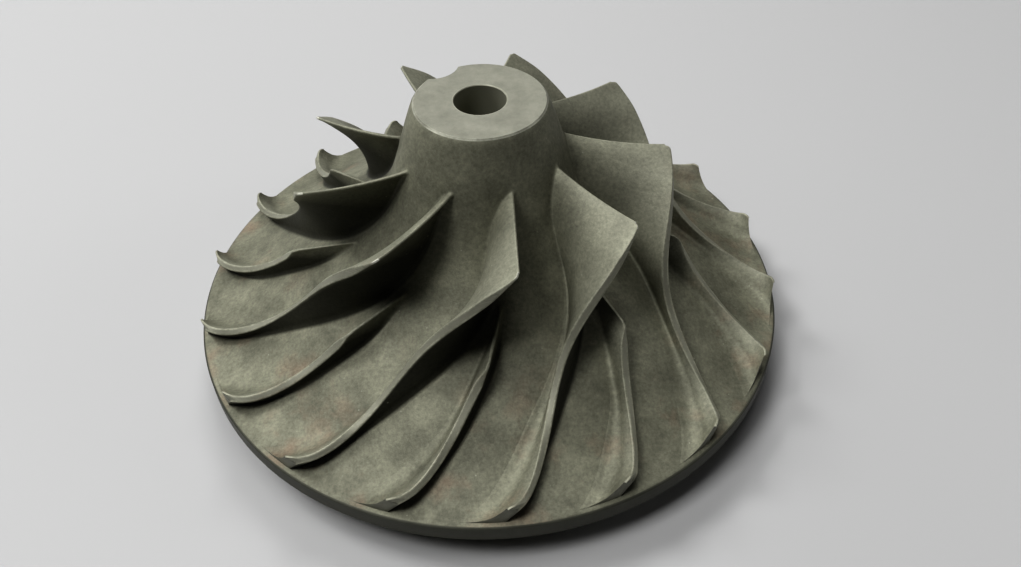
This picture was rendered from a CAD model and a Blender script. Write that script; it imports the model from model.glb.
# Looks of a cast compressor wheel: fine hub and blades, blasted metal, camera and light.
import math

import bmesh
import bpy
from mathutils import Matrix, Vector


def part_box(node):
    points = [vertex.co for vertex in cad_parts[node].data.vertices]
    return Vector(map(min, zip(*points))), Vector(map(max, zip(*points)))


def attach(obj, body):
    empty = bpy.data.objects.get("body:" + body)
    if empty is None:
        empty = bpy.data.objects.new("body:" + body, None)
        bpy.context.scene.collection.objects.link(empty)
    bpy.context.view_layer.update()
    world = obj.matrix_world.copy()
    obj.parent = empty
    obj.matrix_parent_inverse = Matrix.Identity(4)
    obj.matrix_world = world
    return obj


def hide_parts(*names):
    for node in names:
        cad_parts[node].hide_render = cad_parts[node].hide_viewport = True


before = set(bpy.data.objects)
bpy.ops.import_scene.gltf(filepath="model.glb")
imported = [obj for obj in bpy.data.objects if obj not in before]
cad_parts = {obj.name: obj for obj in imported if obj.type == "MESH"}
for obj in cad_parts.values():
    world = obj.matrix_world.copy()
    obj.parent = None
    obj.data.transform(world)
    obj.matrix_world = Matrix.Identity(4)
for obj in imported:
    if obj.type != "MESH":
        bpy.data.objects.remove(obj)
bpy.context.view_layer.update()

mm = 0.001

# hub and disc, millimetres, as in the solid model
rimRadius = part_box("hub_disc")[1].x / mm
rimTop = 11.0
rimThickness = 3.8
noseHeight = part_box("hub_disc")[1].z / mm

hub = {
    "sides": 360,
    "rows": 110,
    "steps": 1200,
    "filletSteps": 16,
    "backSteps": 12,
    "noseSteps": 6,
    "boreSteps": 10,
    "rimChamfer": 0.35,
    "noseRadius": 12.9,
    "noseChamfer": 0.35,
    "boreRadius": 5.0,
    "boreChamfer": 0.15,
    "noseInner": 5.4,
    "bossRadius": 17.0,
    "bossFillet": 6.0,
    "backRise": 2.6,
    # control points of the flowing side, nose to rim: radius, height over the rim top
    "side": ((12.9, 47.9), (20.5, 29.4), (16.2, 18.8), (33.2, 17.9), (47.4, 8.5), (49.6, 2.1),
             (62.5, 0.0)),
    "cutRadius": 5.1,
    "cutReach": 15.8,
    "cutAngle": 124.7,
    "cutDepth": 5.0,
    "sharpAngle": 30,
}

blade = {
    "count": 9,
    "firstAngle": 117.9,
    # control points of the outer edge: radius, height over the rim top, turn in degrees
    "tip": ((36.9, 36.3, 0.0), (40.3, 21.0, -29.9), (32.7, 17.1, -32.0), (55.4, 1.5, -38.7),
            (61.2, 4.8, -44.7)),
    # control points of the foot on the hub: radius, turn in degrees
    "foot": ((16.4, 10.2), (17.9, -20.1), (27.1, 12.2), (35.7, -38.4), (48.1, -35.9),
             (61.6, -49.0)),
    "leadingTip": 1.7,
    "trailingTip": 1.3,
    "root": 2.4,
    "leadingShare": 0.3,
    # fillet radius at the leading edge, then full grown on the open and on the overhung side
    "leadingFillet": 0.6,
    "openFillet": 3.0,
    "hiddenFillet": 1.0,
    "bow": 0.8,
    "edgeRadius": 0.22,
    "trailingRadius": 61.4,
    "leadingCorner": 0.9,
    "trailingCorner": 1.2,
    "thinnest": 0.03,
    "filletLimit": 0.42,
    "rowSearch": (0.8, 1.15),
    "bowEnd": 0.2,
    "twistEnd": 0.5,
    # the foot has a skirt just over the hub and a flap that dips under its skin
    "skirtLift": 0.01,
    "flapReach": 0.4,
    "flapDepth": 0.12,
    "tipInset": 0.18,
    # heights on the blade's own map where the fillet and the face end, and of the tip face
    "mapFillet": 0.3,
    "mapFace": 0.9,
    "mapTip": 1.2,
    # numbers of rows and columns
    "endSteps": 8,
    "capSteps": 4,
    "filletSteps": 8,
    "faceSteps": 14,
    "edgeSteps": 3,
    "crowding": 0.11,
}
fullShape = {"name": "full", "footStart": 0.0, "tipStart": 0.0, "lead": 1.25, "stations": 120,
             "taper": 0.09, "twist": 0.0}
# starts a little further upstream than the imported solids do, to meet the photograph
splitterShape = {"name": "splitter", "footStart": 0.39, "tipStart": 0.42, "lead": 1.6,
                 "stations": 84, "taper": 0.15, "twist": 12.0}


def bezier(points, t):
    n = len(points) - 1
    out = [0.0] * len(points[0])
    for i, point in enumerate(points):
        w = math.comb(n, i) * t ** i * (1 - t) ** (n - i)
        for k, value in enumerate(point):
            out[k] += w * value
    return out


def polar(radius, height, turn):
    angle = math.radians(turn)
    return Vector((radius * math.cos(angle), radius * math.sin(angle), height))


sideRows = [bezier(hub["side"], i / hub["steps"]) for i in range(hub["steps"] + 1)]
sideRows = [(radius, rimTop + height) for radius, height in sideRows]


def hubSample(radius):
    low, high = 0, hub["steps"]
    while high - low > 1:
        middle = (low + high) // 2
        if sideRows[middle][0] > radius:
            high = middle
        else:
            low = middle
    near, far = sideRows[low], sideRows[high]
    slope = (far[1] - near[1]) / (far[0] - near[0])
    height = near[1] + slope * (min(max(radius, near[0]), far[0]) - near[0])
    return height, slope


def hubNormal(point):
    radius = math.hypot(point.x, point.y)
    slope = hubSample(radius)[1]
    length = math.hypot(1.0, slope)
    out = -slope / length / radius
    return Vector((point.x * out, point.y * out, 1 / length))


def onHub(point, lift=0.0):
    # slides a point along the hub normal until it lies at the given height over the hub
    spot = point.copy()
    for _ in range(6):
        radius = math.hypot(spot.x, spot.y)
        height, slope = hubSample(radius)
        away = (spot.z - height) / math.hypot(1.0, slope)
        spot -= hubNormal(spot) * (away - lift)
    return spot


def ribs(shape, along):
    ahead = along + shape["lead"] * along * (1 - along) ** 2
    radius, turn = bezier(blade["foot"], shape["footStart"] + (1 - shape["footStart"]) * ahead)
    turn -= shape["twist"] * max(0.0, 1 - along / blade["twistEnd"]) ** 2
    foot = polar(radius, hubSample(radius)[0], turn)
    radius, height, turn = bezier(blade["tip"], shape["tipStart"] + (1 - shape["tipStart"]) * along)
    return foot, polar(radius, rimTop + height, turn)


def camber(shape, along, span):
    foot, tip = ribs(shape, along)
    point = foot.lerp(tip, span)
    if shape["name"] == "full":
        point.z -= 4 * blade["bow"] * span * (1 - span) * max(0.0, 1 - along / blade["bowEnd"])
    return point


def directions(shape, along, span):
    # unit vectors along the flow, up the span and across the blade
    low = max(along - 0.02, 0.0)
    ahead = (camber(shape, along + 0.02, span) - camber(shape, low, span)).normalized()
    foot, tip = ribs(shape, along)
    up = (tip - foot).normalized()
    return ahead, up, ahead.cross(up).normalized()


def ease(value):
    value = min(max(value, 0.0), 1.0)
    return value * value * (3 - 2 * value)


def halfThickness(shape, along, span):
    tip = blade["leadingTip"] + (blade["trailingTip"] - blade["leadingTip"]) * along
    whole = 0.5 * (tip + (blade["root"] - tip) * (1 - span))
    sharp = blade["leadingShare"]
    return whole * (sharp + (1 - sharp) * ease(along / shape["taper"]))


def filletSize(shape, along, side):
    small = blade["leadingFillet"]
    if side > 0:
        return small + (blade["openFillet"] - small) * ease(along)
    return small + (blade["hiddenFillet"] - small) * ease(along / (2 * shape["taper"]))


def cornerDrop(distance, corner):
    inside = min(max(1 - distance / corner, 0.0), 1.0)
    return corner * (1 - math.sqrt(max(0.0, 1 - inside * inside)))


def outline(shape):
    # round a blade: one side from the trailing end, the leading round, the other side
    n = shape["stations"]
    endSteps = blade["endSteps"]
    crowd = []
    for i in range(n + 1):
        x = i / n
        crowd.append(x - blade["crowding"] * math.sin(2 * math.pi * x))
    ring = [(x, -1.0, 0.0) for x in reversed(crowd)]
    for k in range(1, endSteps):
        a = math.pi * k / endSteps
        ring.append((0.0, -math.cos(a), -math.sin(a)))
    return ring + [(x, 1.0, 0.0) for x in crowd]


def facePoint(shape, along, side, end, span, shrink=0.0):
    ahead, up, across = directions(shape, along, span)
    half = max(halfThickness(shape, along, span) - shrink, blade["thinnest"])
    return camber(shape, along, span) + across * (side * half) + ahead * (end * half)


def outward(shape, along, side, end, base):
    # unit vector away from the blade along the hub surface, and the hub normal
    normal = hubNormal(base)
    ahead, up, across = directions(shape, along, 0.0)
    out = across * side + ahead * end
    out -= normal * out.dot(normal)
    return out.normalized(), normal


def footPoint(shape, along, side, end, reach, lift):
    base = onHub(facePoint(shape, along, side, end, 0.0))
    if reach == 0.0:
        return base
    out, normal = outward(shape, along, side, end, base)
    return onHub(base + out * reach, lift)


def climbShare(shape, along, side):
    foot, tip = ribs(shape, along)
    up = (tip - foot).normalized()
    rise = max(up.dot(hubNormal(foot)), 0.3)
    share = filletSize(shape, along, side) / rise / (tip - foot).length
    return min(share, blade["filletLimit"])


def trimmed(pointAt):
    # how far along a row of the blade runs before it meets the turned outer edge
    low, high = blade["rowSearch"]
    for _ in range(20):
        middle = 0.5 * (low + high)
        point = pointAt(middle)
        if math.hypot(point.x, point.y) < blade["trailingRadius"]:
            low = middle
        else:
            high = middle
    return 0.5 * (low + high)


def topSpan(shape, along, reach):
    foot, tip = ribs(shape, along)
    near = (tip - ribs(shape, 0.0)[1]).length
    far = (ribs(shape, reach)[1] - tip).length
    drop = cornerDrop(near, blade["leadingCorner"]) + cornerDrop(far, blade["trailingCorner"])
    return 1 - drop / (tip - foot).length


def columnRows(shape, where, limits):
    # one line of points from under the hub skin, up the fillet and the face to the tip
    x, side, end = where
    flap, skirt, base, shoulder, faces = limits[1 if side > 0 else -1]
    reach = filletSize(shape, x, side)
    flapPoint = footPoint(shape, x * flap, side, end, reach + blade["flapReach"],
                          -blade["flapDepth"])
    skirtPoint = footPoint(shape, x * skirt, side, end, reach, blade["skirtLift"])
    basePoint = footPoint(shape, x * base, side, end, 0.0, 0.0)
    shoulderAt = x * shoulder
    shoulderPoint = facePoint(shape, shoulderAt, side, end, climbShare(shape, shoulderAt, side))
    column = [(flapPoint, 0.0)]
    for k in range(blade["filletSteps"]):
        t = k / blade["filletSteps"]
        spot = skirtPoint * (1 - t) ** 2 + basePoint * (2 * t * (1 - t)) + shoulderPoint * t * t
        low = onHub(spot, blade["skirtLift"])
        if (spot - low).dot(hubNormal(low)) < 0:
            spot = low
        column.append((spot, blade["mapFillet"] * t))
    edge, faceSteps, edgeSteps = blade["edgeRadius"], blade["faceSteps"], blade["edgeSteps"]
    for k, reach in enumerate(faces):
        along = x * reach
        foot, tip = ribs(shape, along)
        low = climbShare(shape, along, side)
        top = topSpan(shape, along, reach)
        crown = top - edge / (tip - foot).length
        if k <= faceSteps:
            share = k / faceSteps
            span = low + (crown - low) * share
            mark = blade["mapFillet"] + (blade["mapFace"] - blade["mapFillet"]) * share
            column.append((facePoint(shape, along, side, end, span), mark))
        else:
            a = 0.5 * math.pi * min(k - faceSteps, edgeSteps) / edgeSteps
            inset = blade["tipInset"] if k > faceSteps + edgeSteps else 0.0
            span = crown + (top - crown) * math.sin(a)
            shrink = edge * (1 - math.cos(a)) + inset
            mark = blade["mapFace"] + (1 - blade["mapFace"]) * math.sin(a) + inset
            column.append((facePoint(shape, along, side, end, span, shrink), mark))
    return column


def rowLimits(shape, side):
    # where each row of one side ends: flap, skirt, base, shoulder and the rows of the face
    def footAt(reach, lift):
        return trimmed(lambda a: footPoint(shape, a, side, 0.0,
                                           filletSize(shape, a, side) + reach, lift))

    def faceAt(share):
        return trimmed(lambda a: facePoint(
            shape, a, side, 0.0, climbShare(shape, a, side) * (1 - share) + 0.97 * share))
    base = trimmed(lambda a: footPoint(shape, a, side, 0.0, 0.0, 0.0))
    faces = [faceAt(min(k / blade["faceSteps"], 1.0))
             for k in range(blade["faceSteps"] + blade["edgeSteps"] + 2)]
    return (footAt(blade["flapReach"], -blade["flapDepth"]), footAt(0.0, blade["skirtLift"]),
            base, faces[0], faces)


def bladeMesh(shape):
    limits = {side: rowLimits(shape, side) for side in (1, -1)}
    capSteps = blade["capSteps"]
    ring = outline(shape)
    columns = [columnRows(shape, where, limits) for where in ring]
    lastSide = len(ring) - 2
    for k in range(1, capSteps):
        # the trailing face is turned: it lies on the outer cylinder of the blades
        ring.append((1.0, 1 - 2 * k / capSteps, 1.0))
        column = []
        for a, b in zip(columns[len(ring) - 1 - k], columns[0]):
            spot = a[0].lerp(b[0], k / capSteps)
            stretch = blade["trailingRadius"] / math.hypot(spot.x, spot.y)
            column.append((Vector((spot.x * stretch, spot.y * stretch, spot.z)), a[1]))
        columns.append(column)
    mesh = bmesh.new()
    layer = mesh.loops.layers.uv.new("blade")
    grid = [[mesh.verts.new(spot * mm) for spot, _ in column] for column in columns]
    rows = len(columns[0])
    count = len(ring)
    for i in range(count):
        j = (i + 1) % count
        for k in range(rows - 1):
            face = mesh.faces.new((grid[i][k], grid[j][k], grid[j][k + 1], grid[i][k + 1]))
            face.material_index = 1 if i > lastSide or j == 0 else 0
            corners = ((i, k), (j, k), (j, k + 1), (i, k + 1))
            for loop, (c, r) in zip(face.loops, corners):
                # the map runs to the left of zero on the open side of the blade
                loop[layer].uv = (-ring[c][0] * ring[c][1], columns[c][r][1])
    closeTop(mesh, layer, grid, ring, shape["stations"])
    bmesh.ops.recalc_face_normals(mesh, faces=mesh.faces)
    return mesh


def closeTop(mesh, layer, grid, ring, n):
    # the tip face runs between the two sides, with a fan at each end
    def face(*columns):
        made = mesh.faces.new([grid[c][-1] for c in columns])
        made.material_index = 1
        for loop, c in zip(made.loops, columns):
            loop[layer].uv = (ring[c][0], blade["mapTip"])
    first = n + blade["endSteps"]
    for i in range(n):
        face(n - i, n - i - 1, first + i + 1, first + i)
    face(*range(n, first + 1))
    face(*([*range(first + n, len(ring))] + [0]))


def hubMesh():
    # the profile runs from the bore over the back, the rim, the flow side and the nose
    low = rimTop - rimThickness
    outer = rimRadius
    c = hub["rimChamfer"]
    profile = [(hub["boreRadius"] + hub["boreChamfer"], 0.0), (hub["bossRadius"], 0.0)]
    for i in range(1, hub["filletSteps"] + 1):
        a = 0.5 * math.pi * i / hub["filletSteps"]
        profile.append((hub["bossRadius"] + hub["bossFillet"] * (1 - math.cos(a)),
                        (low - hub["backRise"]) * math.sin(a)))
    backStart = hub["bossRadius"] + hub["bossFillet"]
    for i in range(1, hub["backSteps"]):
        t = i / hub["backSteps"]
        profile.append((backStart + (outer - c - backStart) * t, low - hub["backRise"] * (1 - t)))
    profile += [(outer - c, low), (outer, low + c)]
    profile += [(outer, low + rimThickness * i / 4) for i in (1, 2, 3)]
    profile += [(outer, rimTop - c), (outer - c, rimTop)]
    for i in range(1, hub["rows"]):
        row = sideRows[round(hub["steps"] * (1 - i / hub["rows"]))]
        if row[0] < outer - c - 0.3:
            profile.append(row)
    c = hub["noseChamfer"]
    profile += [(hub["noseRadius"], noseHeight - c), (hub["noseRadius"] - c, noseHeight)]
    start = hub["noseRadius"] - c
    for i in range(1, hub["noseSteps"]):
        t = i / hub["noseSteps"]
        profile.append((start + (hub["noseInner"] - start) * t, noseHeight))
    c = hub["boreChamfer"]
    profile.append((hub["boreRadius"] + c, noseHeight))
    profile.append((hub["boreRadius"], noseHeight - c))
    for i in range(1, hub["boreSteps"]):
        profile.append((hub["boreRadius"], noseHeight * (1 - i / hub["boreSteps"])))
    profile.append((hub["boreRadius"], hub["boreChamfer"]))
    mesh = bmesh.new()
    verts = [mesh.verts.new(Vector((r, 0.0, z)) * mm) for r, z in profile]
    edges = [mesh.edges.new((verts[i - 1], verts[i])) for i in range(len(verts))]
    bmesh.ops.spin(mesh, geom=verts + edges, cent=(0, 0, 0), axis=(0, 0, 1), dvec=(0, 0, 0),
                   angle=2 * math.pi, steps=hub["sides"], use_merge=True, use_duplicate=False)
    bmesh.ops.remove_doubles(mesh, verts=mesh.verts, dist=0.0005 * mm)
    bmesh.ops.recalc_face_normals(mesh, faces=mesh.faces)
    return mesh


def toPiece(mesh, name, node, angle):
    data = bpy.data.meshes.new(name)
    mesh.to_mesh(data)
    mesh.free()
    data.shade_smooth()
    data.set_sharp_from_angle(angle=math.radians(angle))
    data.materials.append(blastedMetal)
    data.materials.append(turnedMetal)
    piece = bpy.data.objects.new(name, data)
    bpy.context.collection.objects.link(piece)
    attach(piece, "root")
    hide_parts(node)
    return piece


def cutNose(piece):
    mesh = bmesh.new()
    bmesh.ops.create_cone(mesh, cap_ends=True, segments=96, radius1=hub["cutRadius"] * mm,
                          radius2=hub["cutRadius"] * mm, depth=2 * hub["cutDepth"] * mm)
    bmesh.ops.translate(mesh, verts=mesh.verts,
                        vec=polar(hub["cutReach"], noseHeight, hub["cutAngle"]) * mm)
    data = bpy.data.meshes.new("noseCutter")
    mesh.to_mesh(data)
    mesh.free()
    cutter = bpy.data.objects.new("noseCutter", data)
    bpy.context.collection.objects.link(cutter)
    cut = piece.modifiers.new("noseCut", "BOOLEAN")
    cut.operation = "DIFFERENCE"
    cut.object = cutter
    bpy.context.view_layer.update()
    graph = bpy.context.evaluated_depsgraph_get()
    finished = bpy.data.meshes.new_from_object(piece.evaluated_get(graph))
    piece.modifiers.clear()
    piece.data = finished
    bpy.data.objects.remove(cutter, do_unlink=True)
    finished.shade_smooth()
    finished.set_sharp_from_angle(angle=math.radians(hub["sharpAngle"]))
    # the flow side stays as cast, and all else is turned
    for face in finished.polygons:
        x, y, z = face.center / mm
        radius = math.hypot(x, y)
        inFlow = hub["noseRadius"] - 0.2 < radius < rimRadius - 0.2 and rimTop - 0.1 < z
        face.material_index = 0 if inFlow and z < noseHeight - 0.4 else 1


# materials

def toLinear(code):
    values = [int(code[i:i + 2], 16) / 255 for i in (0, 2, 4)]
    return [v / 12.92 if v <= 0.04045 else ((v + 0.055) / 1.055) ** 2.4 for v in values] + [1.0]


def addNode(tree, kind, inputs, output=None, **settings):
    # gives the node, or the named output of it
    node = tree.nodes.new(kind)
    for key, value in settings.items():
        setattr(node, key, value)
    for key, value in inputs.items():
        if isinstance(value, bpy.types.NodeSocket):
            tree.links.new(value, node.inputs[key])
        else:
            node.inputs[key].default_value = value
    return node if output is None else node.outputs[output]


castFinish = {
    # sizes in millimetres
    "cloudSize": 9.1,
    "stainSize": 12.8,
    "chafeSize": 4.2,
    "grainSize": 0.67,
    "speckGap": 3.85,
    "grainDepth": 0.2,
    "metallic": 0.4,
    "roughness": 0.6,
    "darkGrey": "646457",
    "paleGrey": "8f8f7e",
    "brown": "927866",
    "bare": "9f9f90",
    "soot": "2b2b21",
    "chafed": "bfbfad",
    "knocked": "e6e6da",
    "speck": "b5b6a8",
}

turnedFinish = {
    "cloudSize": 3.85,
    "ringGap": 0.24,
    "ringDepth": 0.1,
    "metallic": 0.4,
    "roughness": 0.5,
    "darkGrey": "75756a",
    "paleGrey": "8c8c80",
    "tip": "a3a291",
    "edge": "d2d2c2",
    "wall": "a8a898",
    "rim": "2c2d24",
}


def startMetal(name, finish):
    metal = bpy.data.materials.new(name)
    metal.use_nodes = True
    tree = metal.node_tree
    shader = tree.nodes["Principled BSDF"]
    shader.inputs["Metallic"].default_value = finish["metallic"]
    shader.inputs["Roughness"].default_value = finish["roughness"]
    place = addNode(tree, "ShaderNodeTexCoord", {}, "Object")
    flat = addNode(tree, "ShaderNodeVectorMath", {0: place, 1: (1.0, 1.0, 0.0)}, 0,
                   operation="MULTIPLY")
    radius = addNode(tree, "ShaderNodeVectorMath", {0: flat}, "Value", operation="LENGTH")
    return metal, tree, shader, place, radius


def bladeMap(tree):
    # along: 0 to 1 from the leading edge, minus on the open side
    # height: 0 at the foot, 0.3 over the fillet, 1 at the edge of the tip, 1.2 on the tip face
    place = addNode(tree, "ShaderNodeUVMap", {}, "UV", uv_map="blade")
    parts = addNode(tree, "ShaderNodeSeparateXYZ", {0: place})
    return parts.outputs["X"], parts.outputs["Y"]


def closeMetal(tree, shader, colour, height, strength, depth):
    tree.links.new(colour, shader.inputs["Base Color"])
    bump = addNode(tree, "ShaderNodeBump", {"Strength": strength, "Distance": depth * mm,
                                            "Height": height}, "Normal")
    tree.links.new(bump, shader.inputs["Normal"])


def blastedAluminium():
    # bead-blasted aluminium casting: dull olive grey, cloudy, with faint brown stains
    finish = castFinish
    metal, tree, shader, place, radius = startMetal("castAluminiumBlasted", finish)
    mixed = {"data_type": "RGBA"}
    times = {"operation": "MULTIPLY"}
    noise, ramp, mix = "ShaderNodeTexNoise", "ShaderNodeMapRange", "ShaderNodeMix"
    product = "ShaderNodeMath"
    along, height = bladeMap(tree)

    clouds = addNode(tree, noise, {"Vector": place, "Scale": 1 / (finish["cloudSize"] * mm),
                                   "Detail": 9.0, "Roughness": 0.72}, "Fac")
    clouds = addNode(tree, ramp, {0: clouds, 1: 0.32, 2: 0.68}, 0)
    colour = addNode(tree, mix, {0: clouds, 6: toLinear(finish["darkGrey"]),
                                 7: toLinear(finish["paleGrey"])}, 2, **mixed)

    # brown stains outward of the inlet
    stains = addNode(tree, noise, {"Vector": place, "Scale": 1 / (finish["stainSize"] * mm),
                                   "Detail": 7.0, "Roughness": 0.6}, "Fac")
    stains = addNode(tree, ramp, {0: stains, 1: 0.52, 2: 0.68, 4: 0.42}, 0)
    outer = addNode(tree, ramp, {0: radius, 1: 32 * mm, 2: 52 * mm}, 0)
    stains = addNode(tree, product, {0: stains, 1: outer}, 0, **times)
    colour = addNode(tree, mix, {0: stains, 6: colour, 7: toLinear(finish["brown"])}, 2, **mixed)

    # the blades are blasted barer than the channels
    bare = addNode(tree, ramp, {0: height, 1: 0.15, 2: 0.7, 4: 0.42}, 0)
    colour = addNode(tree, mix, {0: bare, 6: colour, 7: toLinear(finish["bare"])}, 2, **mixed)

    # soot stays on the overhung side, under the edge of the tip
    sooty = addNode(tree, ramp, {0: along, 1: 0.0, 2: 0.1, 4: 0.88}, 0)
    for low, high in ((0.97, 0.85), (0.0, 0.1)):
        part = addNode(tree, ramp, {0: height, 1: low, 2: high}, 0)
        sooty = addNode(tree, product, {0: sooty, 1: part}, 0, **times)
    colour = addNode(tree, mix, {0: sooty, 6: colour, 7: toLinear(finish["soot"])}, 2, **mixed)

    # the edges of the tips are chafed in places
    chafed = addNode(tree, noise, {"Vector": place, "Scale": 1 / (finish["chafeSize"] * mm),
                                   "Detail": 5.0, "Roughness": 0.6}, "Fac")
    chafed = addNode(tree, ramp, {0: chafed, 1: 0.42, 2: 0.62, 4: 0.34}, 0)
    part = addNode(tree, ramp, {0: height, 1: 0.86, 2: 0.98}, 0)
    chafed = addNode(tree, product, {0: part, 1: chafed}, 0, **times)
    colour = addNode(tree, mix, {0: chafed, 6: colour, 7: toLinear(finish["chafed"])}, 2, **mixed)

    # bright knocks on the front corners of the full blades
    near = addNode(tree, product, {0: along}, 0, operation="ABSOLUTE")
    level = addNode(tree, "ShaderNodeSeparateXYZ", {0: place}, "Z")
    knocked = addNode(tree, ramp, {0: near, 1: 0.01, 2: 0.002, 4: 0.8}, 0)
    for value, low, high in ((height, 0.92, 0.98), (level, 34 * mm, 40 * mm)):
        part = addNode(tree, ramp, {0: value, 1: low, 2: high}, 0)
        knocked = addNode(tree, product, {0: knocked, 1: part}, 0, **times)
    colour = addNode(tree, mix, {0: knocked, 6: colour, 7: toLinear(finish["knocked"])}, 2,
                     **mixed)

    # blasting grain, drawn a little coarser than the real one so that it shows
    grain = addNode(tree, noise, {"Vector": place, "Scale": 1 / (finish["grainSize"] * mm),
                                  "Detail": 4.0, "Roughness": 0.75}, "Fac")
    colour = addNode(tree, mix, {0: 0.55, 6: colour, 7: grain}, 2, blend_type="OVERLAY", **mixed)

    # small bright specks
    cells = addNode(tree, "ShaderNodeTexVoronoi",
                    {"Vector": place, "Scale": 1 / (finish["speckGap"] * mm)}, "Distance")
    specks = addNode(tree, ramp, {0: cells, 1: 0.055, 2: 0.02, 4: 0.5}, 0)
    colour = addNode(tree, mix, {0: specks, 6: colour, 7: toLinear(finish["speck"])}, 2, **mixed)
    closeMetal(tree, shader, colour, grain, 0.3, finish["grainDepth"])
    return metal


def turnedAluminium():
    # the same casting where it is turned on a lathe: fine rings, a little brighter
    finish = turnedFinish
    metal, tree, shader, place, radius = startMetal("castAluminiumTurned", finish)
    mixed = {"data_type": "RGBA"}
    times = {"operation": "MULTIPLY"}
    noise, ramp, mix = "ShaderNodeTexNoise", "ShaderNodeMapRange", "ShaderNodeMix"
    product = "ShaderNodeMath"

    clouds = addNode(tree, noise, {"Vector": place, "Scale": 1 / (finish["cloudSize"] * mm),
                                   "Detail": 8.0, "Roughness": 0.75}, "Fac")
    clouds = addNode(tree, ramp, {0: clouds, 1: 0.3, 2: 0.7}, 0)
    colour = addNode(tree, mix, {0: clouds, 6: toLinear(finish["darkGrey"]),
                                 7: toLinear(finish["paleGrey"])}, 2, **mixed)

    # the blade tips, the worn edge of the nose and the bore wall are brighter
    tips = addNode(tree, ramp, {0: bladeMap(tree)[1], 1: 1.0, 2: 1.1, 4: 0.35}, 0)
    colour = addNode(tree, mix, {0: tips, 6: colour, 7: toLinear(finish["tip"])}, 2, **mixed)
    edge = addNode(tree, ramp, {0: radius, 1: 12.4 * mm, 2: 12.8 * mm, 4: 0.8}, 0)
    part = addNode(tree, ramp, {0: radius, 1: 13.5 * mm, 2: 13.0 * mm}, 0)
    edge = addNode(tree, product, {0: edge, 1: part}, 0, **times)
    edge = addNode(tree, product, {0: edge, 1: clouds}, 0, **times)
    colour = addNode(tree, mix, {0: edge, 6: colour, 7: toLinear(finish["edge"])}, 2, **mixed)
    wall = addNode(tree, ramp, {0: radius, 1: 5.4 * mm, 2: 5.0 * mm, 4: 0.7}, 0)
    colour = addNode(tree, mix, {0: wall, 6: colour, 7: toLinear(finish["wall"])}, 2, **mixed)

    # rings of the turning tool
    turns = addNode(tree, product, {0: radius, 1: 1 / (finish["ringGap"] * mm)}, 0, **times)
    rings = addNode(tree, noise, {"W": turns}, "Fac", noise_dimensions="1D")
    colour = addNode(tree, mix, {0: 0.25, 6: colour, 7: rings}, 2, blend_type="OVERLAY", **mixed)

    # the side of the rim is darker than the nose face
    shade = addNode(tree, ramp, {0: radius, 1: 61.5 * mm, 2: 62.4 * mm, 4: 0.75}, 0)
    colour = addNode(tree, mix, {0: shade, 6: colour, 7: toLinear(finish["rim"])}, 2, **mixed)
    closeMetal(tree, shader, colour, rings, 0.15, finish["ringDepth"])
    return metal


blastedMetal = blastedAluminium()
turnedMetal = turnedAluminium()
print("metals", blastedMetal.name, turnedMetal.name)
wheelHub = toPiece(hubMesh(), "hubCasting", "hub_disc", 35)
cutNose(wheelHub)
print("hub", len(wheelHub.data.polygons))

pitch = 360.0 / blade["count"]
sets = ((fullShape, "full_blade_", 0.0), (splitterShape, "splitter_blade_", 0.5))
for shape, prefix, offset in sets:
    base = bladeMesh(shape)
    for k in range(blade["count"]):
        turned = base.copy()
        angle = math.radians(blade["firstAngle"] + pitch * (k + offset))
        bmesh.ops.rotate(turned, verts=turned.verts, matrix=Matrix.Rotation(angle, 3, "Z"))
        toPiece(turned, shape["name"] + "Blade%d" % (k + 1), prefix + "%d" % (k + 1), 60)
    print(shape["name"], len(base.faces))
    base.free()


# table, lights and camera

tableTop = {
    "halfSize": 1.6,
    "colour": "b3b3b3",
    "roughness": 0.7,
}


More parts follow.
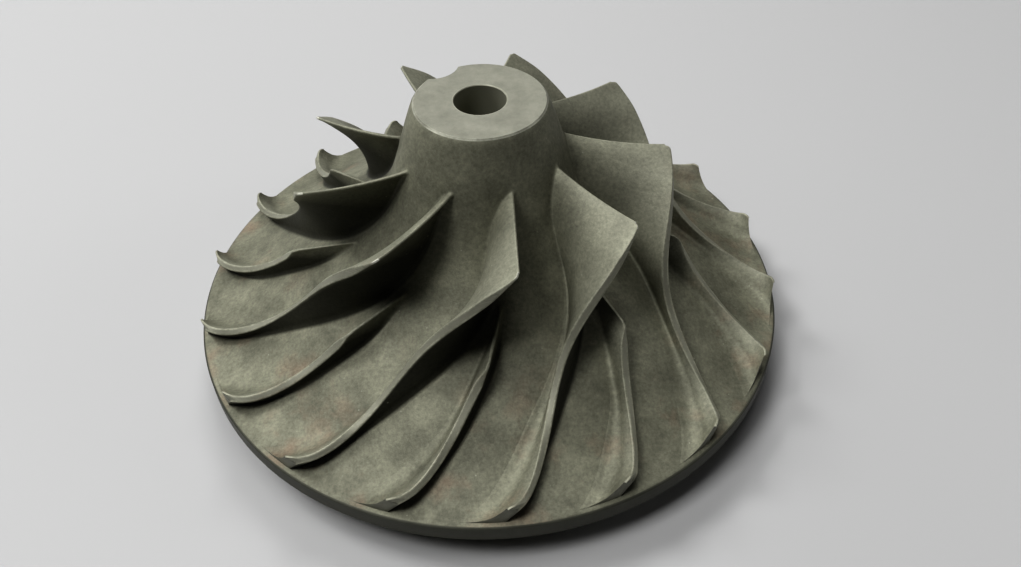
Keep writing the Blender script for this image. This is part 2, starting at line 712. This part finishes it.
def makeTable():
    mesh = bmesh.new()
    bmesh.ops.create_grid(mesh, x_segments=1, y_segments=1, size=tableTop["halfSize"])
    data = bpy.data.meshes.new("tableTop")
    mesh.to_mesh(data)
    mesh.free()
    table = bpy.data.objects.new("tableTop", data)
    bpy.context.collection.objects.link(table)
    # plain matt paper
    paper = bpy.data.materials.new("paperMatt")
    paper.use_nodes = True
    shader = paper.node_tree.nodes["Principled BSDF"]
    shader.inputs["Base Color"].default_value = toLinear(tableTop["colour"])
    shader.inputs["Roughness"].default_value = tableTop["roughness"]
    data.materials.append(paper)
    print("table", table.name)


softBoxes = {
    # azimuth and height angle in degrees, size in metres, power in watts
    "overheadBox": (0, 90, 0.5, 2.8),
    "backBox": (90, 50, 0.5, 4.6),
    "backLeftBox": (158, 52, 0.35, 4.6),
    "frontLeftBox": (212, 62, 0.4, 6.6),
    "lowBackBox": (135, 25, 0.5, 1.4),
    "lowLeftBox": (180, 25, 0.5, 0.6),
    "lowRightBox": (0, 25, 0.5, 1.2),
}
boxDistance = 1.3
lightTarget = Vector((0, 0, 0.02))


def addLight(name, azimuth, rise, size, power):
    lamp = bpy.data.lights.new(name, "AREA")
    lamp.size = size
    lamp.energy = power
    item = bpy.data.objects.new(name, lamp)
    bpy.context.collection.objects.link(item)
    angle = math.radians(rise)
    item.location = polar(boxDistance * math.cos(angle), boxDistance * math.sin(angle), azimuth)
    item.rotation_euler = (lightTarget - item.location).to_track_quat("-Z", "Y").to_euler()


def makeRoom(colour, strength):
    room = bpy.data.worlds.new("room")
    room.use_nodes = True
    background = room.node_tree.nodes["Background"]
    background.inputs["Color"].default_value = toLinear(colour)
    background.inputs["Strength"].default_value = strength
    bpy.context.scene.world = room


# camera from the fit of the rim, bore and blade edges to the photograph, in mm and degrees
photoView = {
    "place": (0.0, -151.2, 157.7),
    "turn": (45.71, 1.08, -2.88),
    "lens": 33.2,
    "sensor": 36,
}


def makeCamera():
    view = bpy.data.cameras.new("photoView")
    view.sensor_width = photoView["sensor"]
    view.lens = photoView["lens"]
    camera = bpy.data.objects.new("photoView", view)
    bpy.context.collection.objects.link(camera)
    camera.location = Vector(photoView["place"]) * mm
    camera.rotation_euler = [math.radians(a) for a in photoView["turn"]]
    bpy.context.scene.camera = camera
    print("camera", camera.name)


makeTable()
for name, settings in softBoxes.items():
    addLight(name, *settings)
makeRoom("e6e8ec", 0.01)
print("lights", len(softBoxes))
makeCamera()
bpy.context.scene.view_settings.view_transform = "Standard"
bpy.context.scene.view_settings.look = "High Contrast"
